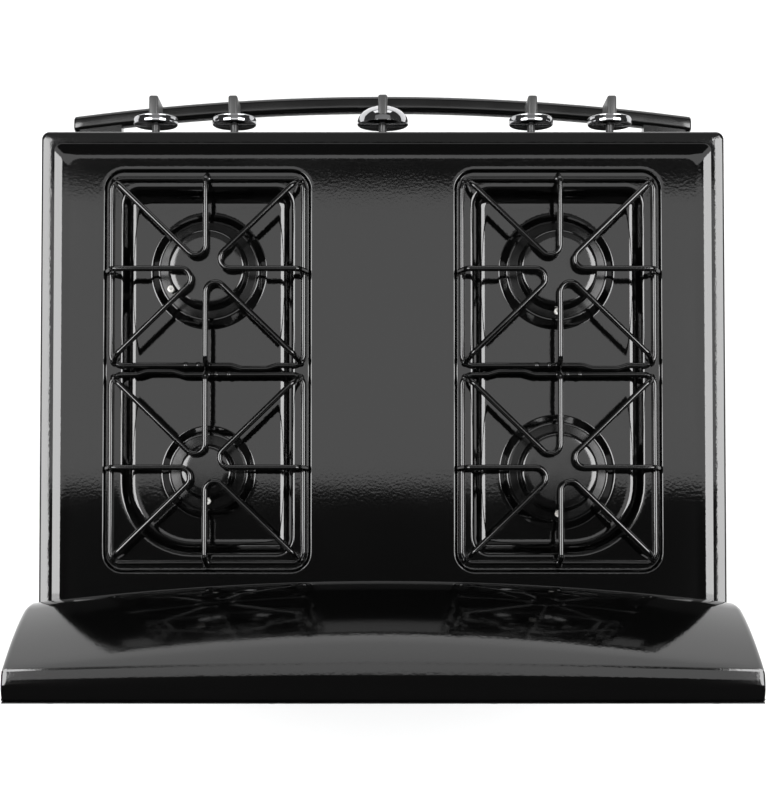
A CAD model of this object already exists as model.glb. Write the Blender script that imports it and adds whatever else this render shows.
import math
import bmesh
import bpy
from mathutils import Matrix, Vector


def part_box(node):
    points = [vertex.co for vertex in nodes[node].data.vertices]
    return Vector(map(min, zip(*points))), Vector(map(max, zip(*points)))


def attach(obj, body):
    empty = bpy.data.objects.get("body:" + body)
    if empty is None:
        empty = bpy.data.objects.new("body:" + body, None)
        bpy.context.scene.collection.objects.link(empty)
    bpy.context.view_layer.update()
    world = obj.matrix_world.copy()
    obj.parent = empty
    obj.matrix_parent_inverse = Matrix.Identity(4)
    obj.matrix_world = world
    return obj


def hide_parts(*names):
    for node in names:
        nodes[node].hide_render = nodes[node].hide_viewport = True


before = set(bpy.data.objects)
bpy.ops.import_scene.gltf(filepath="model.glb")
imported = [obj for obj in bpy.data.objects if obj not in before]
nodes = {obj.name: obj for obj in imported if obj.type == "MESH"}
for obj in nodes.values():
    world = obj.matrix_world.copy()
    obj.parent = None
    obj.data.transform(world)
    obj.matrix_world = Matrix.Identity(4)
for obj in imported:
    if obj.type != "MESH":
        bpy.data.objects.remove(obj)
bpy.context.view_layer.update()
print("frame loaded:", len(nodes), "nodes")
mergeDistance = 0.000002


def deselectAll():
    for item in list(bpy.context.selected_objects):
        item.select_set(False)


def makeActive(piece):
    deselectAll()
    piece.select_set(True)
    bpy.context.view_layer.objects.active = piece


def pickEdges(test):  # in edit mode: only the edges whose two ends both pass
    bpy.ops.mesh.select_mode(type="EDGE")
    bpy.ops.mesh.select_all(action="DESELECT")
    editMesh = bmesh.from_edit_mesh(bpy.context.edit_object.data)
    for edge in editMesh.edges:
        edge.select_set(all(test(v.co) for v in edge.verts))
    bmesh.update_edit_mesh(bpy.context.edit_object.data)


def pickFaces(test):  # in edit mode: only the faces whose middle and normal pass
    bpy.ops.mesh.select_mode(type="FACE")
    bpy.ops.mesh.select_all(action="DESELECT")
    editMesh = bmesh.from_edit_mesh(bpy.context.edit_object.data)
    for face in editMesh.faces:
        face.select_set(test(face.calc_center_median(), face.normal))
    bmesh.update_edit_mesh(bpy.context.edit_object.data)


def roundedPath(points, radii, steps=5, closed=False):
    # straight runs joined by arcs; radii has one value for each corner
    points = [Vector(p) for p in points]
    count = len(points)
    corners = range(count) if closed else range(1, count - 1)
    path = [] if closed else [points[0]]
    for place, i in enumerate(corners):
        before, corner, after = points[i - 1], points[i], points[(i + 1) % count]
        into, out = (corner - before).normalized(), (after - corner).normalized()
        turn = into.angle(out)
        if radii[place] <= 0 or turn < 0.001:
            path.append(corner)
            continue
        tangent = radii[place] * math.tan(turn / 2)
        start = corner - into * tangent
        inwards = (out - into * math.cos(turn)) / math.sin(turn)
        for k in range(steps + 1):
            angle = turn * k / steps
            path.append(start + into * radii[place] * math.sin(angle)
                        + inwards * radii[place] * (1 - math.cos(angle)))
    if not closed:
        path.append(points[-1])
    return path


def outlineRing(x, y, halfX, halfY, z, radii, steps=12):
    # rounded rectangle in plan; radii go right front, right rear, left rear, left front
    ring = []
    corners = ((1, -1, -90), (1, 1, 0), (-1, 1, 90), (-1, -1, 180))
    for (sideX, sideY, first), radius in zip(corners, radii):
        for k in range(steps + 1):
            angle = math.radians(first + 90 * k / steps)
            ring.append(Vector((x + sideX * (halfX - radius) + radius * math.cos(angle),
                                y + sideY * (halfY - radius) + radius * math.sin(angle), z)))
    return ring


def circleRing(radius, height, steps):
    turns = [2 * math.pi * k / steps for k in range(steps)]
    return [Vector((radius * math.cos(turn), radius * math.sin(turn), height)) for turn in turns]


def loftRings(name, rings, capFirst=False, capLast=False):
    # a grid whose rows become the rings; the seam is merged and the ends are capped
    deselectAll()
    around, along = len(rings[0]), len(rings)
    bpy.ops.mesh.primitive_grid_add(x_subdivisions=around, y_subdivisions=along - 1, size=1)
    piece = bpy.context.object
    piece.name = name
    for vertex in piece.data.vertices:
        row, spot = divmod(vertex.index, around + 1)
        vertex.co = rings[row][spot % around]
    bpy.ops.object.mode_set(mode="EDIT")
    bpy.ops.mesh.select_all(action="SELECT")
    bpy.ops.mesh.remove_doubles(threshold=mergeDistance)
    for wanted, ring in ((capFirst, rings[0]), (capLast, rings[-1])):
        if wanted:
            places = {tuple(round(c, 5) for c in p) for p in ring}
            pickEdges(lambda co: tuple(round(c, 5) for c in co) in places)
            bpy.ops.mesh.edge_face_add()
    bpy.ops.mesh.select_all(action="SELECT")
    bpy.ops.mesh.normals_make_consistent(inside=False)
    bpy.ops.object.mode_set(mode="OBJECT")
    return piece


def pullIn(radius, fromEnd):  # how far a rounded edge has curved in at this distance from its end
    near = max(radius - fromEnd, 0.0)
    return radius - math.sqrt(max(radius ** 2 - near ** 2, 0.0))


def joinAll(name, pieces):
    deselectAll()
    for piece in pieces:
        piece.select_set(True)
    bpy.context.view_layer.objects.active = pieces[0]
    if len(pieces) > 1:
        bpy.ops.object.join()
    pieces[0].name = name
    pieces[0].data.name = name
    return pieces[0]


def smooth(piece, degrees=38):
    makeActive(piece)
    bpy.ops.object.shade_smooth_by_angle(angle=math.radians(degrees))
    return piece


def applyModifier(piece, kind, **values):
    makeActive(piece)
    modifier = piece.modifiers.new(kind.title(), kind)
    for key, value in values.items():
        setattr(modifier, key, value)
    bpy.ops.object.modifier_apply(modifier=modifier.name)
    return piece


def turned(name, profile, centre, direction=(0, 0, 1), steps=64):
    # closed turned piece from (radius, height) points along a direction
    rings = [circleRing(radius, height, steps) for radius, height in profile]
    piece = loftRings(name, rings, True, True)
    turn = Vector((0, 0, 1)).rotation_difference(Vector(direction)).to_matrix().to_4x4()
    piece.data.transform(Matrix.Translation(Vector(centre)) @ turn)
    return piece


def turnedSection(name, section, radii, steps, centre, around):
    path = roundedPath([(radius, height, 0) for radius, height in section], radii, steps)
    return turned(name, [(p.x, p.y) for p in path], centre, steps=around)


def wire(name, points, radius, cyclic=False, sides=3):
    # round wire along points, as a mesh
    curve = bpy.data.curves.new(name, "CURVE")
    curve.dimensions = "3D"
    spline = curve.splines.new("POLY")
    spline.points.add(len(points) - 1)
    for spot, point in zip(spline.points, points):
        spot.co = (*point, 1)
    spline.use_cyclic_u = cyclic
    curve.bevel_depth = radius
    curve.bevel_resolution = sides
    curve.use_fill_caps = not cyclic
    piece = bpy.data.objects.new(name, curve)
    bpy.context.scene.collection.objects.link(piece)
    makeActive(piece)
    bpy.ops.object.convert(target="MESH")
    return bpy.context.object


def copied(piece, name, matrix):
    twin = piece.copy()
    twin.data = piece.data.copy()
    twin.name = twin.data.name = name
    twin.data.transform(matrix)
    bpy.context.scene.collection.objects.link(twin)
    return twin


def finishPiece(piece, material, body, replaced=()):
    piece.data.materials.clear()
    piece.data.materials.append(material)
    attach(piece, body)
    if replaced:
        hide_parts(*replaced)


def newGroup(name, inputs, outputs):
    group = bpy.data.node_groups.new(name, "ShaderNodeTree")
    for label, kind, value in inputs:
        socket = group.interface.new_socket(label, in_out="INPUT", socket_type=kind)
        if value is not None:
            socket.default_value = value
    for label, kind in outputs:
        group.interface.new_socket(label, in_out="OUTPUT", socket_type=kind)
    return group, group.nodes.new("NodeGroupInput"), group.nodes.new("NodeGroupOutput")


def mathNode(tree, operation, first, second=None, clamp=False):
    node = tree.nodes.new("ShaderNodeMath")
    node.operation = operation
    node.use_clamp = clamp
    for spot, value in enumerate((first, second)):
        if value is None:
            continue
        if isinstance(value, (int, float)):
            node.inputs[spot].default_value = value
        else:
            tree.links.new(value, node.inputs[spot])
    return node.outputs[0]


def mapRange(tree, value, low, high, newLow, newHigh):
    node = tree.nodes.new("ShaderNodeMapRange")
    node.inputs["From Min"].default_value = low
    node.inputs["From Max"].default_value = high
    node.inputs["To Min"].default_value = newLow
    node.inputs["To Max"].default_value = newHigh
    tree.links.new(value, node.inputs["Value"])
    return node.outputs["Result"]


def noiseNode(tree, vector, scale, detail=3.0, roughness=0.5):
    node = tree.nodes.new("ShaderNodeTexNoise")
    node.inputs["Detail"].default_value = detail
    node.inputs["Roughness"].default_value = roughness
    tree.links.new(vector, node.inputs["Vector"])
    if isinstance(scale, (int, float)):
        node.inputs["Scale"].default_value = scale
    else:
        tree.links.new(scale, node.inputs["Scale"])
    return node.outputs["Fac"]


def buildOrangePeel():
    # the faint waviness of fired or sprayed enamel, as a height
    group, given, put = newGroup("orangePeel", [("Vector", "NodeSocketVector", None),
                                                ("Scale", "NodeSocketFloat", 400.0),
                                                ("Waviness", "NodeSocketFloat", 0.5)],
                                 [("Height", "NodeSocketFloat")])
    fine = noiseNode(group, given.outputs["Vector"], given.outputs["Scale"], 2.0)
    broadScale = mathNode(group, "MULTIPLY", given.outputs["Scale"], 0.12)
    broad = noiseNode(group, given.outputs["Vector"], broadScale, 1.0)
    weighted = mathNode(group, "MULTIPLY", broad, given.outputs["Waviness"])
    group.links.new(mathNode(group, "ADD", fine, weighted), put.inputs["Height"])
    return group


def buildDust():
    # a thin uneven film of dust on faces that look up
    group, given, put = newGroup("settledDust", [("Vector", "NodeSocketVector", None),
                                                 ("Scale", "NodeSocketFloat", 30.0),
                                                 ("Amount", "NodeSocketFloat", 0.3)],
                                 [("Mask", "NodeSocketFloat")])
    geometry = group.nodes.new("ShaderNodeNewGeometry")
    split = group.nodes.new("ShaderNodeSeparateXYZ")
    group.links.new(geometry.outputs["Normal"], split.inputs[0])
    upward = mapRange(group, split.outputs["Z"], 0.3, 1.0, 0.0, 1.0)
    cloud = mapRange(group, noiseNode(group, given.outputs["Vector"], given.outputs["Scale"], 6.0, 0.65),
                     0.42, 0.7, 0.15, 1.0)
    speckScale = mathNode(group, "MULTIPLY", given.outputs["Scale"], 40.0)
    speckNoise = noiseNode(group, given.outputs["Vector"], speckScale, 1.0)
    speck = mapRange(group, speckNoise, 0.6, 0.72, 0.0, 1.0)
    both = mathNode(group, "MULTIPLY", cloud, mathNode(group, "ADD", speck, 0.35))
    mask = mathNode(group, "MULTIPLY", both, upward)
    scaled = mathNode(group, "MULTIPLY", mask, given.outputs["Amount"], clamp=True)
    group.links.new(scaled, put.inputs["Mask"])
    return group


def buildEdgeWear():
    # rubbed edges, broken up by noise
    group, given, put = newGroup("edgeWear", [("Vector", "NodeSocketVector", None),
                                              ("Scale", "NodeSocketFloat", 60.0),
                                              ("Amount", "NodeSocketFloat", 0.5)],
                                 [("Mask", "NodeSocketFloat")])
    geometry = group.nodes.new("ShaderNodeNewGeometry")
    edge = mapRange(group, geometry.outputs["Pointiness"], 0.52, 0.62, 0.0, 1.0)
    broken = mapRange(group, noiseNode(group, given.outputs["Vector"], given.outputs["Scale"], 5.0),
                      0.4, 0.65, 0.0, 1.0)
    mask = mathNode(group, "MULTIPLY", edge, broken)
    scaled = mathNode(group, "MULTIPLY", mask, given.outputs["Amount"], clamp=True)
    group.links.new(scaled, put.inputs["Mask"])
    return group


def buildGrain():
    # brushed or drawn lines: noise stretched along one axis
    group, given, put = newGroup("drawnGrain", [("Vector", "NodeSocketVector", None),
                                                ("Scale", "NodeSocketFloat", 300.0),
                                                ("Stretch", "NodeSocketVector", (0.05, 1.0, 1.0))],
                                 [("Height", "NodeSocketFloat")])
    stretch = group.nodes.new("ShaderNodeVectorMath")
    stretch.operation = "MULTIPLY"
    group.links.new(given.outputs["Vector"], stretch.inputs[0])
    group.links.new(given.outputs["Stretch"], stretch.inputs[1])
    lines = noiseNode(group, stretch.outputs[0], given.outputs["Scale"], 3.0)
    group.links.new(lines, put.inputs["Height"])
    return group


def buildSpeckle():
    # scattered fine flecks
    group, given, put = newGroup("fineSpeckle", [("Vector", "NodeSocketVector", None),
                                                 ("Scale", "NodeSocketFloat", 700.0),
                                                 ("Share", "NodeSocketFloat", 0.2)],
                                 [("Mask", "NodeSocketFloat")])
    cells = group.nodes.new("ShaderNodeTexVoronoi")
    group.links.new(given.outputs["Vector"], cells.inputs["Vector"])
    group.links.new(given.outputs["Scale"], cells.inputs["Scale"])
    near = mathNode(group, "LESS_THAN", cells.outputs["Distance"], given.outputs["Share"])
    group.links.new(near, put.inputs["Mask"])
    return group


groups = {"peel": buildOrangePeel(), "dust": buildDust(), "wear": buildEdgeWear(),
          "grain": buildGrain(), "speckle": buildSpeckle()}


def objectPlace(tree):
    node = tree.nodes.get("Texture Coordinate") or tree.nodes.new("ShaderNodeTexCoord")
    return node.outputs["Object"]


def useGroup(tree, key, **values):
    node = tree.nodes.new("ShaderNodeGroup")
    node.node_tree = groups[key]
    tree.links.new(objectPlace(tree), node.inputs["Vector"])
    for label, value in values.items():
        node.inputs[label].default_value = value
    return node.outputs[0]


def startMaterial(name, **sockets):
    material = bpy.data.materials.new(name)
    material.use_nodes = True
    shader = material.node_tree.nodes["Principled BSDF"]
    for label, value in sockets.items():
        shader.inputs[label.replace("_", " ")].default_value = value
    return material, material.node_tree, shader


def mixColours(tree, mask, first, second):
    node = tree.nodes.new("ShaderNodeMix")
    node.data_type = "RGBA"
    for spot, value in ((6, first), (7, second)):
        if isinstance(value, tuple):
            node.inputs[spot].default_value = value
        else:
            tree.links.new(value, node.inputs[spot])
    tree.links.new(mask, node.inputs[0])
    return node.outputs[2]


def addBump(tree, shader, height, strength, distance):
    bump = tree.nodes.new("ShaderNodeBump")
    bump.inputs["Strength"].default_value = strength
    bump.inputs["Distance"].default_value = distance
    tree.links.new(height, bump.inputs["Height"])
    tree.links.new(bump.outputs["Normal"], shader.inputs["Normal"])


def feedShader(tree, shader, colour, rough):
    tree.links.new(colour, shader.inputs["Base Color"])
    tree.links.new(rough, shader.inputs["Roughness"])


def grey(value, tint=0.0):
    return (value * (1 + tint), value, value * (1 - tint), 1.0)


def enamelMaterial(name, look):
    material, tree, shader = startMaterial(name, IOR=look["ior"])
    dust = useGroup(tree, "dust", Scale=look["dustScale"], Amount=look["dust"])
    wear = useGroup(tree, "wear", Amount=look["wear"])
    base = mixColours(tree, wear, grey(look["colour"]), grey(look["wornColour"]))
    colour = mixColours(tree, dust, base, grey(0.22, 0.04))
    blotch = noiseNode(tree, objectPlace(tree), look["blotch"], 4.0)
    rough = mapRange(tree, blotch, 0.35, 0.65, look["roughLow"], look["roughHigh"])
    rough = mathNode(tree, "ADD", rough, mathNode(tree, "MULTIPLY", dust, 0.5), clamp=True)
    feedShader(tree, shader, colour, rough)
    peel = useGroup(tree, "peel", Scale=look["peelScale"], Waviness=look["waviness"])
    addBump(tree, shader, peel, look["peel"], 0.0004)
    return material


# fired and sprayed enamels: what most of them share, then what each changes
enamelBase = dict(colour=0.0008, wornColour=0.002, ior=1.52, dust=0.003, dustScale=9.0, wear=0.4,
                  blotch=6.0, roughLow=0.045, roughHigh=0.075, peel=0.06, peelScale=330.0,
                  waviness=0.8)
enamelLooks = {
    "porcelain": dict(enamelBase, wear=0.3, blotch=5.0, peel=0.07),
    "backguardEnamel": dict(enamelBase, wear=0.2),
    "panelEnamel": dict(enamelBase, colour=0.003, wornColour=0.012, ior=1.5, dust=0.008,
        dustScale=7.0, wear=0.5, roughLow=0.13, roughHigh=0.2, peelScale=500.0, waviness=0.6),
    "grateEnamel": dict(enamelBase, colour=0.001, wornColour=0.004, dust=0.004, dustScale=25.0,
        blotch=60.0, roughLow=0.06, roughHigh=0.12, peel=0.05, peelScale=500.0, waviness=2.0),
    "capEnamel": dict(enamelBase, colour=0.0015, wornColour=0.004, dust=0.004, dustScale=25.0,
        blotch=40.0, roughLow=0.08, roughHigh=0.13, peel=0.04, peelScale=700.0),
    "castHead": dict(enamelBase, colour=0.002, wornColour=0.01, ior=1.3, dust=0.01, dustScale=30.0,
        blotch=70.0, roughLow=0.14, roughHigh=0.24, peelScale=900.0, waviness=1.0),
    "handleBlack": dict(enamelBase, colour=0.0015, wornColour=0.006, ior=1.5, dustScale=20.0,
        blotch=20.0, roughLow=0.14, roughHigh=0.22, peel=0.05, peelScale=800.0, waviness=0.5),
}
materials = {name: enamelMaterial(name, look) for name, look in enamelLooks.items()}


def metalMaterial(name, look):
    material, tree, shader = startMaterial(name, Metallic=look["metallic"])
    grain = useGroup(tree, "grain", Scale=look["grainScale"], Stretch=look["stretch"])
    wear = useGroup(tree, "wear", Amount=look["wear"])
    cloud = noiseNode(tree, objectPlace(tree), look["cloud"], 5.0)
    base = mixColours(tree, mapRange(tree, cloud, 0.3, 0.7, 0.0, 1.0), look["dark"], look["light"])
    rough = mapRange(tree, grain, 0.3, 0.7, look["roughLow"], look["roughHigh"])
    feedShader(tree, shader, mixColours(tree, wear, base, look["worn"]), rough)
    addBump(tree, shader, grain, look["bump"], 0.0003)
    return material


# bare metals: what most of them share, then what each changes
metalBase = dict(metallic=1.0, dark=(0.2, 0.21, 0.22, 1), light=(0.33, 0.34, 0.35, 1),
                 worn=(0.5, 0.5, 0.5, 1), cloud=60.0, grainScale=160.0, stretch=(1.0, 1.0, 1.0),
                 roughLow=0.3, roughHigh=0.5, bump=0.1, wear=0.5)
metalLooks = {
    "galvanised": dict(metalBase, metallic=0.9, worn=(0.42, 0.43, 0.44, 1), cloud=45.0, bump=0.08),
    "rackChrome": dict(metalBase, dark=(0.62, 0.62, 0.63, 1), light=(0.8, 0.8, 0.8, 1),
        worn=(0.85, 0.85, 0.85, 1), cloud=30.0, grainScale=400.0, stretch=(0.1, 1.0, 1.0),
        roughLow=0.08, roughHigh=0.2, bump=0.05, wear=0.3),
    "skirtChrome": dict(metalBase, dark=(0.34, 0.34, 0.35, 1), light=(0.42, 0.42, 0.43, 1),
        grainScale=700.0, roughLow=0.05, roughHigh=0.09, bump=0.01, wear=0.2),
    "pipeSteel": dict(metalBase, metallic=0.95, dark=(0.2, 0.2, 0.21, 1),
        light=(0.36, 0.35, 0.34, 1), grainScale=350.0, stretch=(0.05, 1.0, 1.0), bump=0.15),
    "castAluminium": dict(metalBase, metallic=0.9, dark=(0.4, 0.4, 0.41, 1),
        light=(0.55, 0.55, 0.56, 1), worn=(0.7, 0.7, 0.7, 1), cloud=90.0, grainScale=900.0,
        roughLow=0.35, roughHigh=0.55, bump=0.35, wear=0.4),
    "brass": dict(metalBase, dark=(0.5, 0.34, 0.12, 1), light=(0.68, 0.48, 0.19, 1),
        worn=(0.8, 0.62, 0.3, 1), cloud=50.0, grainScale=500.0, stretch=(1.0, 0.05, 1.0),
        roughLow=0.22, roughHigh=0.4, wear=0.4),
    "screwSteel": dict(metalBase, metallic=0.95, dark=(0.4, 0.41, 0.42, 1),
        light=(0.58, 0.59, 0.6, 1), worn=(0.75, 0.75, 0.75, 1), cloud=300.0, grainScale=1500.0,
        roughLow=0.25, roughHigh=0.42, wear=0.6),
}
materials.update({name: metalMaterial(name, look) for name, look in metalLooks.items()})


def ovenEnamelMaterial():
    # dark blue-grey vitreous enamel with pale flecks
    material, tree, shader = startMaterial("ovenEnamel", IOR=1.52)
    flecks = useGroup(tree, "speckle", Scale=900.0, Share=0.16)
    wear = useGroup(tree, "wear", Amount=0.12)
    base = mixColours(tree, flecks, (0.014, 0.016, 0.021, 1), (0.2, 0.21, 0.23, 1))
    rough = mapRange(tree, noiseNode(tree, objectPlace(tree), 12.0, 5.0), 0.3, 0.7, 0.18, 0.36)
    feedShader(tree, shader, mixColours(tree, wear, base, grey(0.05)), rough)
    addBump(tree, shader, useGroup(tree, "peel", Scale=420.0, Waviness=0.6), 0.1, 0.0004)
    return material


def ceramicMaterial():
    material, tree, shader = startMaterial("ceramic", IOR=1.55, Coat_Weight=0.3)
    stain = mapRange(tree, noiseNode(tree, objectPlace(tree), 350.0, 4.0), 0.5, 0.75, 0.0, 1.0)
    colour = mixColours(tree, stain, (0.8, 0.79, 0.76, 1), (0.42, 0.37, 0.3, 1))
    feedShader(tree, shader, colour, mapRange(tree, stain, 0.0, 1.0, 0.2, 0.5))
    return material


def blanketMaterial():
    # mineral wool: matted fibres
    material, tree, shader = startMaterial("blanket", Sheen_Weight=0.3)
    fibres = useGroup(tree, "grain", Scale=220.0, Stretch=(0.3, 1.0, 1.0))
    shade = mapRange(tree, fibres, 0.3, 0.7, 0.0, 1.0)
    colour = mixColours(tree, shade, (0.42, 0.36, 0.2, 1), (0.68, 0.62, 0.42, 1))
    feedShader(tree, shader, colour, mapRange(tree, fibres, 0.0, 1.0, 0.8, 1.0))
    addBump(tree, shader, fibres, 0.8, 0.002)
    return material


def weaveMaterial():
    # braided glass-fibre seal
    material, tree, shader = startMaterial("gasketWeave")
    waves = []
    for slant in (0.7, -0.7):
        turn = tree.nodes.new("ShaderNodeMapping")
        turn.inputs["Rotation"].default_value = (slant, slant, slant)
        tree.links.new(objectPlace(tree), turn.inputs["Vector"])
        band = tree.nodes.new("ShaderNodeTexWave")
        band.inputs["Scale"].default_value = 190.0
        band.inputs["Distortion"].default_value = 0.6
        tree.links.new(turn.outputs["Vector"], band.inputs["Vector"])
        waves.append(band.outputs["Fac"])
    weave = mathNode(tree, "MAXIMUM", waves[0], waves[1])
    colour = mixColours(tree, weave, (0.035, 0.034, 0.032, 1), (0.16, 0.155, 0.145, 1))
    feedShader(tree, shader, colour, mapRange(tree, weave, 0.0, 1.0, 0.95, 0.7))
    addBump(tree, shader, weave, 0.6, 0.001)
    return material


def glassMaterial():
    # tinted oven glass, faintly smeared
    material, tree, shader = startMaterial("darkGlass", IOR=1.5, Transmission_Weight=0.9)
    smear = mapRange(tree, noiseNode(tree, objectPlace(tree), 9.0, 6.0), 0.45, 0.7, 0.0, 1.0)
    colour = mixColours(tree, smear, (0.1, 0.1, 0.105, 1), (0.13, 0.13, 0.13, 1))
    feedShader(tree, shader, colour, mapRange(tree, smear, 0.0, 1.0, 0.02, 0.07))
    return material


def plasticMaterial(name, look):
    material, tree, shader = startMaterial(name, IOR=1.48)
    dust = useGroup(tree, "dust", Scale=look["dustScale"], Amount=look["dust"])
    pebble = useGroup(tree, "peel", Scale=look["pebble"], Waviness=0.3)
    rough = mapRange(tree, pebble, 0.3, 0.9, look["roughLow"], look["roughHigh"])
    feedShader(tree, shader, mixColours(tree, dust, look["colour"], grey(0.3)), rough)
    addBump(tree, shader, pebble, look["bump"], 0.0003)
    return material


materials["ovenEnamel"] = ovenEnamelMaterial()
materials["ceramic"] = ceramicMaterial()
materials["blanket"] = blanketMaterial()
materials["gasketWeave"] = weaveMaterial()
materials["darkGlass"] = glassMaterial()
plasticLooks = {
    "footNylon": dict(colour=grey(0.012), dust=0.1, dustScale=60.0, pebble=1600.0, roughLow=0.4,
                      roughHigh=0.6, bump=0.25),
    "knobSatin": dict(colour=grey(0.035), dust=0.02, dustScale=60.0, pebble=2200.0, roughLow=0.3,
                      roughHigh=0.42, bump=0.12),
}
materials.update({name: plasticMaterial(name, look) for name, look in plasticLooks.items()})
print("materials made:", len(materials))

# what each carried-over CAD node is finished with
nodeFinishes = {
    "panelEnamel": ["left_side_panel", "right_side_panel", "control_panel", "front_frame",
                    "door_outer_panel", "drawer_front", "backguard_rear_cover", "door_hinge_arms",
                    "base_frame"],
    "galvanised": ["rear_panel", "drawer_pan", "drawer_rails", "oven_vent_duct",
                   "hinge_receivers"],
    "ovenEnamel": ["oven_liner", "oven_floor", "door_liner"],
    "handleBlack": ["handle_brackets"],
    "rackChrome": ["oven_racks"],
    "pipeSteel": ["gas_manifold", "burner_supply_tubes", "oven_burners", "oven_igniters", "oven_sensor"],
    "castAluminium": ["pressure_regulator"],
    "blanket": ["oven_insulation", "door_insulation"],
    "gasketWeave": ["door_gasket"],
    "darkGlass": ["door_window_glass", "door_inner_glass", "oven_lamp"],
    "brass": ["burner_valves", "oven_thermostat"],
    "screwSteel": ["assembly_screws"],
    "footNylon": ["spark_module", "cord_gland"],
}
numbered = {"valve_plug": "brass", "levelling_foot": "footNylon"}  # nodes that come in sets
for name, node in nodes.items():
    finishes = [finish for finish, members in nodeFinishes.items() if name in members]
    finishes += [finish for start, finish in numbered.items() if name.startswith(start)]
    if finishes:
        node.data.materials.clear()
        node.data.materials.append(materials[finishes[0]])
    else:
        print("modelled below:", name)


topLow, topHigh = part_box("cooktop")
capsLow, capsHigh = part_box("burner_caps")

cooktop = {
    "rimHeight": 0.005, "rimFront": 0.027, "rimSide": 0.029, "rimCrown": 0.0145,
    "rimSweep": 0.0118, "rimEdge": 0.0025, "rimHollow": 0.026, "rimRoll": 0.0036,
    "corner": 0.009, "deckCorner": 0.011, "sheet": 0.0015,
    "wellMargin": 0.041, "wellFront": 0.015, "wellRear": 0.1382, "wellGap": 0.16, "wellCorner": 0.022,
    "wellDepth": 0.0035, "wellSlope": 0.002, "lipOut": 0.0045, "lipIn": 0.0075, "lipEdge": 0.0025,
    "lipHollow": 0.0022, "shelfEdge": 0.0065, "panEdge": 0.005, "panHollow": 0.011, "panFloor": 0.009,
    "shelf": 0.0205, "panDepth": 0.022, "panSlope": 0.008,
    "panCorner": 0.018, "panLargeCorner": 0.078,
    "embossHeight": 0.007, "embossSlope": 0.0085, "embossEdge": 0.004, "embossHollow": 0.003,
    "embossRound": 0.0025, "innerCorner": 0.006, "deckEdge": 0.0048,
}
deckZ = topHigh.z - cooktop["rimHeight"]
halfWidth = topHigh.x
# foot of the emboss, cap radius, port ring, flange, and distance of the spark from the middle
largeBurner = dict(emboss=0.0644, cap=0.043, head=0.040, flange=0.054, spark=0.0464)
smallBurner = dict(emboss=0.052, cap=0.029, head=0.026, flange=0.0415, spark=0.0326)
burnerX = -(capsLow.x + largeBurner["cap"])
frontBurnerY, rearBurnerY = capsLow.y + largeBurner["cap"], capsHigh.y - largeBurner["cap"]
burners = {  # turn is the spark's angle from straight behind, in degrees
    "left_front": dict(largeBurner, x=-burnerX, y=frontBurnerY, turn=0),
    "left_rear": dict(largeBurner, x=-burnerX, y=rearBurnerY, turn=0),
    "right_front": dict(largeBurner, x=burnerX, y=frontBurnerY, turn=62),
    "right_rear": dict(smallBurner, x=burnerX, y=rearBurnerY, turn=0),
}


def profileRings(points, radii, ringAt, steps=5):
    # rings along a rounded (inward, height) section
    section = roundedPath([(p[0], p[1], 0) for p in points], radii, steps)
    return [ringAt(p.x, p.y) for p in section]


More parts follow.
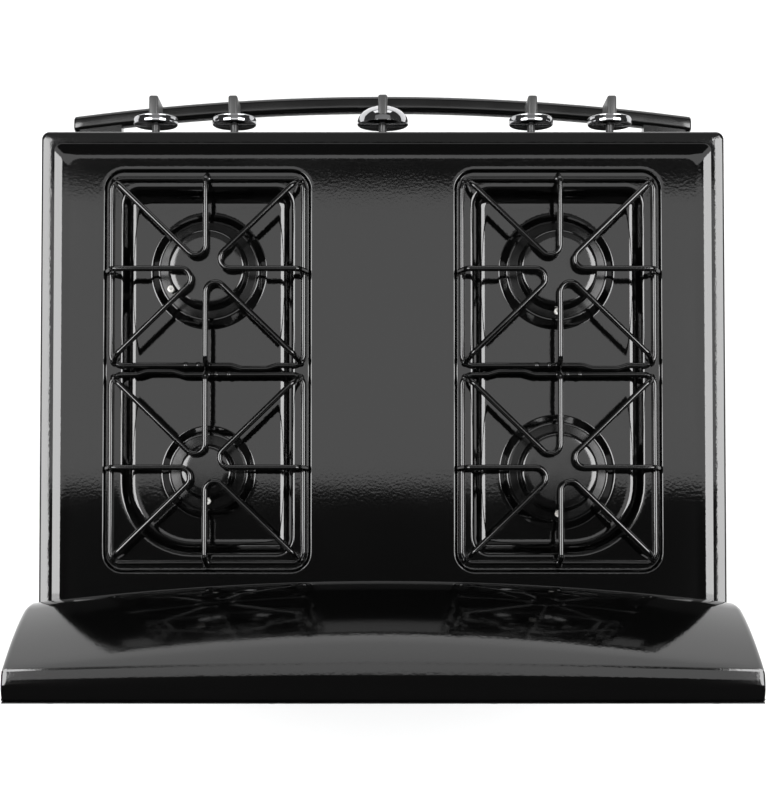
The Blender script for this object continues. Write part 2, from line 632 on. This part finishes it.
def makeCooktop():
    c = cooktop
    rearY, frontY = topHigh.y, topLow.y
    # the rim: skirt, roll, crown, slope and the edge of the deck

    def rimRing(inward, height):
        share = min(max((inward - c["rimRoll"]) / (c["rimSide"] - c["rimRoll"]), 0.0), 1.0)
        front = inward * (1 + share * (c["rimFront"] / c["rimSide"] - 1))
        low, high = frontY + front, rearY - inward
        tight = c["innerCorner"]
        corner = max(c["corner"] - inward, tight) + (c["deckCorner"] - tight) * share ** 0.7
        return outlineRing(0, (low + high) / 2, halfWidth - inward, (high - low) / 2, deckZ + height,
                           [corner] * 4)
    section = [(0, topLow.z - deckZ), (0, c["rimHeight"]), (c["rimCrown"], c["rimHeight"]),
               (c["rimCrown"] + c["rimSweep"], 0), (c["rimSide"] + c["deckEdge"], 0)]
    radii = [c["rimRoll"], c["rimEdge"], c["rimHollow"]]
    rim = loftRings("rim", profileRings(section, radii, rimRing, 8))
    sheets = [rim]
    # wells: lip, shelf, pan wall and the edge of the pan floor
    wellHalfX = (halfWidth - c["wellGap"] / 2 - c["rimSide"] - c["wellMargin"]) / 2
    wellFront, wellRear = frontY + c["rimFront"] + c["wellFront"], rearY - c["wellRear"]
    wellX, wellY = c["wellGap"] / 2 + wellHalfX, (wellFront + wellRear) / 2
    wellHalfY = (wellRear - wellFront) / 2
    for side in (-1, 1):
        def wellRing(inward, height):
            corner = c["wellCorner"] - min(inward, 0.008)
            return outlineRing(side * wellX, wellY, wellHalfX - inward, wellHalfY - inward,
                               deckZ + height, [corner] * 4)

        def panRing(inward, height):
            small = max(c["panCorner"] - inward, 0.008)
            large = c["panLargeCorner"] - inward
            radii = [small, large, small, small] if side > 0 else [small, small, large, small]
            return outlineRing(side * wellX, wellY, wellHalfX - c["shelf"] - inward,
                               wellHalfY - c["shelf"] - inward, deckZ + height, radii)
        shelfZ, panZ = -c["wellDepth"], -c["panDepth"]
        lip = profileRings([(-c["lipOut"], 0), (0, 0), (c["wellSlope"], shelfZ), (c["lipIn"], shelfZ)],
                           [c["lipEdge"], c["lipHollow"]], wellRing)
        bowl = profileRings([(-c["shelfEdge"], shelfZ), (0, shelfZ), (c["panSlope"], panZ),
                             (c["panSlope"] + c["panFloor"], panZ)],
                            [c["panEdge"], c["panHollow"]], panRing, 8)
        sheets.append(loftRings("well", lip + bowl))
    # burner embosses
    for spot in burners.values():
        def embossRing(inward, height):
            return outlineRing(spot["x"], spot["y"], spot["emboss"] - inward, spot["emboss"] - inward,
                               deckZ - c["panDepth"] + height, [spot["emboss"] - inward] * 4, 18)
        rise = [(-c["embossEdge"], 0), (0, 0), (c["embossSlope"], c["embossHeight"]),
                (c["embossSlope"] + c["embossEdge"], c["embossHeight"])]
        rings = profileRings(rise, [c["embossHollow"], c["embossRound"]], embossRing, 4)
        sheets.append(loftRings("emboss", rings, capLast=True))
    top = joinAll("cooktop_pressing", sheets)
    # flat deck and pan floors between the edges
    bpy.ops.object.mode_set(mode="EDIT")
    bpy.ops.mesh.select_mode(type="EDGE")
    for level, inside in ((deckZ, lambda co: True), (deckZ - c["panDepth"], lambda co: co.x < 0),
                          (deckZ - c["panDepth"], lambda co: co.x > 0)):
        bpy.ops.mesh.select_all(action="DESELECT")
        editMesh = bmesh.from_edit_mesh(top.data)
        for edge in editMesh.edges:
            edge.select_set(edge.is_boundary and all(abs(v.co.z - level) < 1e-5 and inside(v.co)
                                                     for v in edge.verts))
        bmesh.update_edit_mesh(top.data)
        bpy.ops.mesh.fill(use_beauty=True)
    bpy.ops.mesh.select_all(action="SELECT")
    bpy.ops.mesh.remove_doubles(threshold=mergeDistance)
    bpy.ops.mesh.normals_make_consistent(inside=False)
    editMesh = bmesh.from_edit_mesh(top.data)
    editMesh.faces.ensure_lookup_table()
    highest = max(editMesh.faces, key=lambda f: f.calc_center_median().z)
    if highest.normal.z < 0:
        bpy.ops.mesh.flip_normals()
    bpy.ops.object.mode_set(mode="OBJECT")
    applyModifier(top, "SOLIDIFY", thickness=c["sheet"], offset=-1.0)
    smooth(top)
    finishPiece(top, materials["porcelain"], "cabinet", ["cooktop"])


makeCooktop()
print("cooktop made")


grate = {
    "wire": 0.00315, "frameCorner": 0.012, "fingerBend": 0.011, "legBend": 0.008,
    "joggle": 0.0036, "joggleFlat": 0.028, "joggleSlope": 0.012, "joggleOffset": 0.052,
    "joggleBend": 0.01, "nub": 0.0028, "nubBend": 0.006, "nubRise": 0.0045, "legReach": 0.006,
    "weld": 0.0039, "weldRise": 0.0012, "butt": 0.0041, "buttPlaces": (0.0098, 0.0238),
}


def makeGrates():
    g = grate
    low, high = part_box("grate_left_front")
    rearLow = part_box("grate_left_rear")[0]
    rightLow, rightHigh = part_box("grate_right_front")
    radius = g["wire"]
    halfX = (high.x - low.x) / 2 - radius
    frameZ = low.z + radius
    fingerZ = high.z - radius
    halfY = (high.y - low.y - 2 * radius - g["joggle"]) / 2
    centre = Vector(((low.x + high.x) / 2, low.y + radius + halfY, 0))
    start = -g["joggleOffset"] - g["joggleFlat"] / 2
    end = -g["joggleOffset"] + g["joggleFlat"] / 2
    out = halfY + g["joggle"]
    framePoints = [(-halfX, -halfY), (halfX, -halfY), (halfX, halfY), (end + g["joggleSlope"], halfY),
                   (end, out), (start, out), (start - g["joggleSlope"], halfY), (-halfX, halfY)]
    corner = g["frameCorner"]
    loop = roundedPath([centre + Vector((x, y, frameZ)) for x, y in framePoints],
                       [corner] * 3 + [g["joggleBend"]] * 4 + [corner], 7, closed=True)
    wires = [wire("frame", loop, radius, cyclic=True)]
    inset = corner * (1 - math.sqrt(0.5))
    fingers = (((-1, 1), (0, 1)), ((1, 1), (1, 0)), ((1, -1), (0, -1)), ((-1, -1), (-1, 0)))
    for cornerWay, sideWay in fingers:  # from a corner to the middle and out to a side
        footX, footY = cornerWay[0] * (halfX - inset), cornerWay[1] * (halfY - inset)
        lean, rise, nub = g["legReach"], g["nubRise"], g["nub"]
        points = [(footX, footY, frameZ),
                  (footX - cornerWay[0] * lean, footY - cornerWay[1] * lean, fingerZ),
                  (0, 0, fingerZ),
                  (sideWay[0] * (halfX - rise), sideWay[1] * (halfY - rise), fingerZ),
                  (sideWay[0] * (halfX + nub), sideWay[1] * (halfY + nub), frameZ + rise)]
        path = roundedPath([centre + Vector(p) for p in points],
                           [g["legBend"], g["fingerBend"], g["nubBend"]], 8)
        wires.append(wire("finger", path, radius))
        for x, y in ((footX, footY), (sideWay[0] * halfX, sideWay[1] * halfY)):  # welds
            deselectAll()
            bpy.ops.mesh.primitive_uv_sphere_add(segments=12, ring_count=8, radius=g["weld"],
                                                 location=centre + Vector((x, y, frameZ + g["weldRise"])))
            bead = bpy.context.object
            bpy.ops.transform.resize(value=(1.15, 1.15, 0.8))
            bpy.ops.object.transform_apply(location=True, rotation=True, scale=True)
            wires.append(bead)
    for x in g["buttPlaces"]:  # the ends of the frame wire, butted and welded
        deselectAll()
        bpy.ops.mesh.primitive_uv_sphere_add(segments=12, ring_count=8, radius=g["butt"],
                                             location=centre + Vector((x, halfY, frameZ)))
        bpy.ops.object.transform_apply(location=True, rotation=True, scale=True)
        wires.append(bpy.context.object)
    first = joinAll("grate_left_front_wires", wires)
    smooth(first, 50)
    joint = (high.y + rearLow.y) / 2
    rightX = (rightLow.x + rightHigh.x) / 2
    aside = Matrix.Translation((rightX - centre.x, 0, 0))
    about = Matrix.Translation((centre.x, joint, 0))
    turnedBack = about @ Matrix.Rotation(math.pi, 4, "Z") @ about.inverted()
    moves = {"left_rear": turnedBack, "right_front": aside, "right_rear": aside @ turnedBack}
    pieces = {"left_front": first}
    for place, move in moves.items():
        pieces[place] = copied(first, "grate_" + place + "_wires", move)
    for place, piece in pieces.items():
        finishPiece(piece, materials["grateEnamel"], "grate_" + place, ["grate_" + place])


makeGrates()
print("grates made")


burner = {
    "seat": deckZ - cooktop["panDepth"] + cooktop["embossHeight"], "baseHeight": 0.016,
    "capHeight": 0.011, "capEdge": 0.0006, "capShoulder": 0.009,
    "locator": 0.0053, "locatorWall": 0.003, "locatorDrop": 0.0038,
    "throat": 0.012, "flange": 0.0017, "footOut": 0.005, "footRise": 0.0021, "footIn": 0.0015,
    "coneTop": 0.0065, "wallStart": 0.0075, "portLow": 0.0065, "portHigh": 0.0025,
    "ports": 20, "portSpan": 4.5, "portInset": 0.0004, "portDepth": 0.003,
}
pointRadius = 0.00001  # where a turned piece closes on its axis


def makeCaps():
    b = burner
    for place, spot in burners.items():
        radius, thick, ring = spot["cap"], b["capHeight"], spot["head"] - b["locator"]
        inner, drop = ring - b["locatorWall"], -b["locatorDrop"]
        section = [(pointRadius, 0), (inner, 0), (inner, drop), (ring, drop), (ring, 0), (radius, 0),
                   (radius, thick - b["capEdge"]), (radius - b["capShoulder"], thick),
                   (pointRadius, thick)]
        radii = [0, 0.0004, 0.0004, 0, 0.0012, 0.0045, 0.03]
        middle = (spot["x"], spot["y"], b["seat"] + b["baseHeight"])
        cap = turnedSection("burner_cap_" + place, section, radii, 6, middle, 72)
        smooth(cap)
        finishPiece(cap, materials["capEnamel"], "cabinet", ["burner_caps"])


def makeBases():
    # flange, port ring and mixing throat of each burner, under its cap
    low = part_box("burner_bases")[0]
    b = burner
    seat, top = b["seat"], b["baseHeight"]
    for place, spot in burners.items():
        head, flange, throat = spot["head"], spot["flange"], b["throat"]
        section = [(throat, low.z - seat), (throat, 0), (flange, 0), (flange, b["flange"]),
                   (head + b["footOut"], b["footRise"]), (head + b["footIn"], b["coneTop"]),
                   (head, b["wallStart"]), (head, top - b["portLow"]), (head, top - b["portHigh"]),
                   (head, top), (pointRadius, top)]
        radii = [0, 0.0005, 0.0009, 0.001, 0.001, 0, 0, 0, 0.0005]
        middle = (spot["x"], spot["y"], seat)
        base = turnedSection("burner_base_" + place, section, radii, 4, middle, 80)
        makeActive(base)
        bpy.ops.object.mode_set(mode="EDIT")

        def isPort(middle, normal):  # one face in every few round the upright wall
            aside = (middle.x - spot["x"], middle.y - spot["y"])
            turn = math.degrees(math.atan2(aside[1], aside[0])) % (360 / b["ports"])
            height = middle.z - seat
            return (abs(normal.z) < 0.1 and math.hypot(*aside) > head - 0.001 and turn < b["portSpan"]
                    and top - 0.006 < height < top - 0.003)
        pickFaces(isPort)
        bpy.ops.mesh.inset(thickness=b["portInset"], depth=-b["portDepth"], use_individual=True)
        bpy.ops.object.mode_set(mode="OBJECT")
        smooth(base, 40)
        finishPiece(base, materials["castHead"], "cabinet", ["burner_bases"])


electrode = {"radius": 0.0026, "collar": 0.004, "collarLow": 0.008, "collarHigh": 0.0026, "pin": 0.0007}


def makeElectrodes():
    e = electrode
    low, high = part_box("spark_electrodes")
    tall = high.z - low.z
    for place, spot in burners.items():
        angle = math.radians(90 - spot["turn"])
        out = spot["spark"]
        centre = (spot["x"] + out * math.cos(angle), spot["y"] + out * math.sin(angle), low.z)
        section = [(e["radius"], 0), (e["radius"], tall - e["collarLow"] - 0.001),
                   (e["collar"], tall - e["collarLow"]), (e["collar"], tall - e["collarHigh"]),
                   (0.0015, tall - 0.0022), (0.0013, tall - 0.0048)]
        radii = [0.0005, 0.0005, 0.0007, 0.0003]
        tube = turnedSection("electrode_ceramic_" + place, section, radii, 4, centre, 32)
        smooth(tube)
        finishPiece(tube, materials["ceramic"], "cabinet", ["spark_electrodes"])
        tip = [(e["pin"], tall - 0.006), (e["pin"], tall - 0.0006), (0.0004, tall - 0.0002)]
        pin = turned("electrode_pin_" + place, tip, centre, steps=16)
        smooth(pin)
        finishPiece(pin, materials["screwSteel"], "cabinet")


makeBases()
makeCaps()
makeElectrodes()
print("burners made")


backguard = {
    "riser": 0.099, "bow": 0.023, "topBow": 0.006, "leanStart": 0.42, "leanEnd": 0.79,
    "sheet": 0.0015, "foot": 0.0004, "footRise": 0.012, "trim": 0.003, "roll": 0.014,
    "endRound": 0.007, "topRound": 0.004, "rearRound": 0.004, "columns": 72,
}


def makeBackguard():
    b = backguard
    low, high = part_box("backguard_shell")
    footY = low.y
    lean = high.z - deckZ - b["riser"]
    kneeZ = deckZ + b["riser"]

    def faceY(height):  # face at the middle, above the knee
        h = max(height, 0.0)
        return footY + b["leanStart"] * h + (b["leanEnd"] - b["leanStart"]) * h * h / lean / 2

    # section from the foot up the face, over the groove and the top, and down the back
    topY = faceY(lean)
    edgeY, edgeZ = faceY(lean - b["trim"]), high.z - b["trim"]
    footZ = deckZ + b["foot"]
    riser = [(footY, footZ), (footY, kneeZ - b["footRise"])]
    face = [(faceY(lean * k / 14), kneeZ + lean * k / 14) for k in range(1, 14)]
    groove = [(edgeY - 0.0004, edgeZ - 0.0008), (edgeY + 0.0012, edgeZ - 0.0006),
              (edgeY + 0.0014, edgeZ + 0.0004), (edgeY + 0.0006, edgeZ + 0.0008)]
    roll = roundedPath([(*groove[-1], 0), (topY + 0.0004, high.z - 0.0016, 0),
                        (topY + b["roll"], high.z, 0),
                        (high.y - b["roll"], high.z - 0.0004, 0), (high.y, high.z - 0.005, 0),
                        (high.y, high.z - 0.03, 0)], [0.002, 0.06, 0.03, 0.004], 6)
    section = riser + face + groove + [(p.x, p.y) for p in roll[1:-1]]
    section += [(high.y, kneeZ), (high.y, footZ)]
    half = high.x

    # columns crowd together where the ends round off
    reach = b["endRound"] / half
    ends = [1 - reach * math.cos(math.pi / 2 * k / 9) for k in range(10)][::-1]
    spots = [-1 + 2 * i / b["columns"] for i in range(1, b["columns"])]
    spots = [-e for e in ends] + spots + ends[::-1]
    spots = sorted(set(round(t, 6) for t in spots))
    rings = []
    for share in spots:
        x = half * share
        fromEnd = half - abs(x)
        front, over, rear = (pullIn(b[key], fromEnd) for key in ("endRound", "topRound", "rearRound"))
        ring = []
        for y, z in section:
            toTop = min(max((z - kneeZ) / lean, 0.0), 1.0)
            bow = (b["bow"] + (b["topBow"] - b["bow"]) * toTop) * share * share
            toFront = min(max((high.y - y) / (high.y - topY), 0.0), 1.0)
            ring.append(Vector((x, y + (bow + front) * toFront - rear * (1 - toFront),
                                z - over * (z > high.z - 0.006))))
        rings.append(ring)
    shell = loftRings("backguard_shell_form", rings, True, True)
    makeActive(shell)
    bpy.ops.object.mode_set(mode="EDIT")
    # open at the bottom and the back, where the cover closes it
    pickFaces(lambda middle, normal: (middle.z < deckZ + 0.002 and abs(normal.z) > 0.9)
              or (middle.y > high.y - 0.0005 and normal.y > 0.9 and middle.z < high.z - 0.005))
    bpy.ops.mesh.delete(type="FACE")
    bpy.ops.object.mode_set(mode="OBJECT")
    applyModifier(shell, "SOLIDIFY", thickness=b["sheet"], offset=-1.0)
    smooth(shell, 30)
    finishPiece(shell, materials["backguardEnamel"], "cabinet", ["backguard_shell"])


makeBackguard()
print("backguard made")


knob = {
    "setback": 0.014, "skirtDepth": 0.0073, "dome": 0.0045, "rolledEdge": 0.0015,
    "ovenDome": 0.016, "ovenBand": 0.3, "ovenRise": 0.004, "ovenShape": 0.9,
    "flutes": 96, "flute": 0.0005, "gripWidth": 0.0105, "gripRound": 0.0026,
    "hub": 0.0045, "hubGap": 0.0045, "stem": 0.003, "stemTip": 0.002,
    "pointerWidth": 0.0016, "pointerReach": 0.55,
}


def knobSkirt(place, radius):
    # outline of the skirt: rolled back edge, straight band, then the domed face
    k = knob
    depth, rolled = k["skirtDepth"], radius - k["rolledEdge"]
    if place == "oven":
        band, rise = depth * k["ovenBand"], k["ovenDome"] + k["ovenRise"]
        face = []
        for share in (0.12, 0.25, 0.4, 0.55, 0.7, 0.85):
            turn = share * math.pi / 2
            face.append((radius * math.cos(turn), band + rise * math.sin(turn) ** k["ovenShape"]))
        return ([(pointRadius, 0), (rolled, 0), (radius, 0.001), (radius, band)] + face
                + [(pointRadius, band + rise)])
    face = []
    for share in (0.1, 0.2, 0.35, 0.5, 0.65, 0.8):
        turn = share * math.pi / 2
        face.append((radius * math.cos(turn), depth + k["dome"] * math.sin(turn)))
    return ([(pointRadius, 0), (rolled, 0), (radius - 0.0003, 0.0008), (radius, 0.0018),
             (radius, depth - 0.0012), (radius - 0.0004, depth)] + face
            + [(pointRadius, depth + k["dome"])])


def roundedBlock(middle, size, rounding, segments):
    deselectAll()
    bpy.ops.mesh.primitive_cube_add(size=1, location=middle)
    block = bpy.context.object
    bpy.ops.transform.resize(value=size)
    bpy.ops.object.transform_apply(location=True, rotation=True, scale=True)
    bpy.ops.object.mode_set(mode="EDIT")
    bpy.ops.mesh.select_all(action="SELECT")
    bpy.ops.mesh.bevel(offset=rounding, segments=segments, affect="EDGES")
    bpy.ops.object.mode_set(mode="OBJECT")
    return block


def makeKnob(place):
    k = knob
    node = "knob_" + place
    low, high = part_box(node)
    x, z = (low.x + high.x) / 2, (low.z + high.z) / 2
    radius = (high.x - low.x) / 2
    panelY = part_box("control_panel")[0].y
    back = panelY - k["setback"]
    length = back - k["skirtDepth"] - low.y
    skirt = turned("skirt", knobSkirt(place, radius), (x, back, z), (0, -1, 0), k["flutes"])
    for vertex in skirt.data.vertices:  # flutes round the straight band
        aside = Vector((vertex.co.x - x, 0, vertex.co.z - z))
        spoke = round(math.degrees(math.atan2(aside.z, aside.x)) * k["flutes"] / 360)
        if aside.length > radius - 0.0006 and spoke % 2:
            vertex.co -= aside.normalized() * k["flute"]
    smooth(skirt, 45)
    # straight blade of the grip, rounded all over
    grip = roundedBlock((x, low.y + length / 2 + 0.001, z),
                        (k["gripWidth"], length + 0.002, 2 * radius - 0.002), k["gripRound"], 5)
    smooth(grip, 40)
    hubReach = k["setback"] - k["hubGap"]
    hub = turned("hub", [(k["hub"], 0), (k["hub"], hubReach)], (x, back, z), (0, 1, 0), 32)
    smooth(hub)
    reach = high.y - back
    tip = [(k["stem"], 0), (k["stem"], reach - k["stemTip"]), (k["stem"] - 0.0006, reach)]
    stem = turned("stem", tip, (x, back, z), (0, 1, 0), 24)
    smooth(stem)
    # pointer line let into the tip of the grip
    pointed = radius * k["pointerReach"]
    pointer = roundedBlock((x, low.y + 0.0003, z + pointed),
                           (k["pointerWidth"], 0.001, pointed), 0.0003, 2)
    finishes = ((skirt, "skirtChrome"), (grip, "knobSatin"), (hub, "knobSatin"), (stem, "screwSteel"),
                (pointer, "ceramic"))
    for piece, finish in finishes:
        piece.data.materials.append(materials[finish])
    whole = joinAll("knob_" + place + "_assembly", [piece for piece, finish in finishes])
    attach(whole, "control_" + place)
    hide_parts(node)


for place in ("left_rear", "left_front", "oven", "right_front", "right_rear"):
    makeKnob(place)
print("knobs made")


handle = {"thickness": 0.0186, "height": 0.022, "bow": 0.0246, "edge": 0.006, "leastEdge": 0.002,
          "endRound": 0.003, "columns": 64}


def makeHandle():
    h = handle
    low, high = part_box("door_handle")
    half = high.x
    middleY = low.y + h["thickness"] / 2
    middleZ = (low.z + high.z) / 2
    rings = []
    spots = [-1 + 2 * i / h["columns"] for i in range(1, h["columns"])]
    tips = [1 - h["endRound"] / half * (1 - math.cos(math.pi / 2 * k / 6)) for k in range(7)]
    spots = [-t for t in tips] + spots + tips[::-1]
    for share in spots:
        x = half * share
        y = middleY + h["bow"] * share * share
        fromEnd = half - abs(x)
        # the ends round off
        shrink = pullIn(h["endRound"], fromEnd)
        halfThick, halfTall = h["thickness"] / 2 - shrink, h["height"] / 2 - shrink
        radius = max(h["edge"] - shrink * 0.6, h["leastEdge"])
        flat = outlineRing(0, 0, halfThick, halfTall, 0, [radius] * 4, 6)
        rings.append([Vector((x, y + p.x, middleZ + p.y)) for p in flat])
    bar = loftRings("door_handle_bar", rings, True, True)
    smooth(bar, 40)
    finishPiece(bar, materials["handleBlack"], "oven_door", ["door_handle"])


makeHandle()
print("handle made")


studio = {
    "floorSize": 16.0, "floorColour": 0.9, "fill": 1.6, "mirrored": 0.07,
    "lights": [  # name, place, aimed at, two sizes, radiance, also lights the floor
        ("overheadSoftbox", (0, -0.275, 2.83), (0, -0.275, 0), (1.46, 0.65), 1.65, True),
        ("frontCeiling", (0, -1.35, 2.9), (0, -1.0, 0), (3.0, 1.3), 0.35, True),
        ("leftStrip", (1.6, -0.22, 2.75), (1.0, -0.22, 0.9), (1.25, 1.7), 12.0, False),
        ("rightStrip", (-1.6, -0.22, 2.75), (-1.0, -0.22, 0.9), (1.25, 1.7), 12.0, False),
        ("frontPanel", (0, -3.2, 1.5), (0, 0, 0.6), (3.0, 1.4), 2.5, True),
        ("rearPanel", (0, 3.4, 1.7), (0, 0, 0.6), (3.0, 1.2), 1.4, True),
    ],
}


def areaLight(name, location, target, sizes, radiance, onFloor):
    light = bpy.data.lights.new(name, "AREA")
    light.shape = "RECTANGLE"
    light.size, light.size_y = sizes
    light.energy = radiance * math.pi * sizes[0] * sizes[1]
    item = bpy.data.objects.new(name, light)
    item.location = location
    item.rotation_euler = (Vector(target) - Vector(location)).to_track_quat("-Z", "Y").to_euler()
    item.visible_diffuse = onFloor
    item.visible_camera = False
    bpy.context.scene.collection.objects.link(item)


def makeStudio():
    deselectAll()
    bpy.ops.mesh.primitive_plane_add(size=studio["floorSize"], location=(0, 0, 0))
    floor = bpy.context.object
    floor.name = "studio_floor"
    paint, tree, shader = startMaterial("studioFloor", Roughness=0.9, Specular_IOR_Level=0.1)
    shader.inputs["Base Color"].default_value = grey(studio["floorColour"])
    floor.data.materials.append(paint)
    for lamp in studio["lights"]:
        areaLight(*lamp)
    world = bpy.data.worlds.new("studioWorld")
    world.use_nodes = True
    bpy.context.scene.world = world
    tree = world.node_tree
    background = tree.nodes["Background"]
    background.inputs["Color"].default_value = (1, 1, 1, 1)
    paths = tree.nodes.new("ShaderNodeLightPath")
    # white behind the range, a softer fill, dim in reflections
    seen = mathNode(tree, "MULTIPLY", paths.outputs["Is Camera Ray"], 1.0 - studio["fill"])
    dimming = studio["mirrored"] - studio["fill"]
    dimmed = mathNode(tree, "MULTIPLY", paths.outputs["Is Glossy Ray"], dimming)
    strength = mathNode(tree, "ADD", mathNode(tree, "ADD", seen, dimmed), studio["fill"])
    tree.links.new(strength, background.inputs["Strength"])


makeStudio()

view = {"lens": 81.8, "shiftX": 0.0041, "shiftY": 0.107, "place": (0.0023, 0.1869, 2.9224), "tilt": 2.0}

cameraData = bpy.data.cameras.new("camera")
camera = bpy.data.objects.new("camera", cameraData)
bpy.context.scene.collection.objects.link(camera)
cameraData.lens = view["lens"]
cameraData.shift_x, cameraData.shift_y = view["shiftX"], view["shiftY"]
camera.location = view["place"]
camera.rotation_mode = "QUATERNION"
halfTurn = Matrix.Rotation(math.pi, 4, "Z")  # looks down with the front of the range uppermost
tilted = Matrix.Rotation(math.radians(view["tilt"]), 4, "X")
camera.rotation_quaternion = (halfTurn @ tilted).to_quaternion()
bpy.context.scene.camera = camera
bpy.context.scene.view_settings.view_transform = "Standard"
print("studio and camera made")

print("boxes written")
